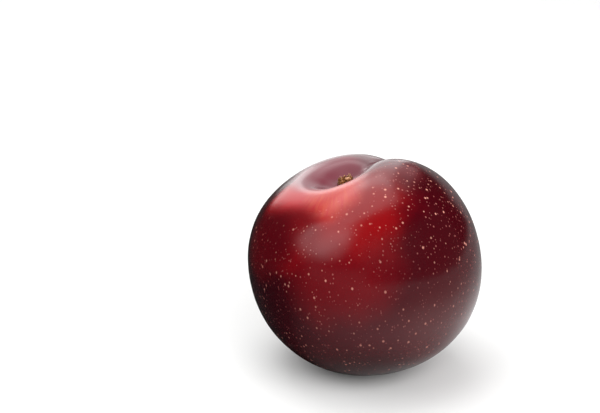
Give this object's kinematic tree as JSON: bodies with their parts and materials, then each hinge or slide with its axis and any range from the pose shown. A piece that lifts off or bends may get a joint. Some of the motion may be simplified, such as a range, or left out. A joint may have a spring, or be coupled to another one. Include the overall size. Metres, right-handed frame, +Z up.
{
  "type": "plum",
  "caption": "Whole ripe red plum with glossy speckled skin, a suture and a stalk cavity that holds the dry stalk scar. It rests on a small flat spot.",
  "frame": {"origin": "in the resting plane, under the middle of the plum's box", "axes": "+Z up from the resting spot, +X to the plum's right, +Y to its back; the stalk cavity is on top, leaning to the left, and the suture runs from it to the back right"},
  "size_m": [0.0612, 0.0606, 0.057],
  "materials": {
    "skin": "ripe plum skin: glossy under a thin wax bloom, deep red to purple with small pale lenticels",
    "cork": "dry torn cork, matt and golden brown"
  },
  "bodies": {
    "root": {"fruit": "skin", "stem_scar": "cork"}
  },
  "joints": []
}
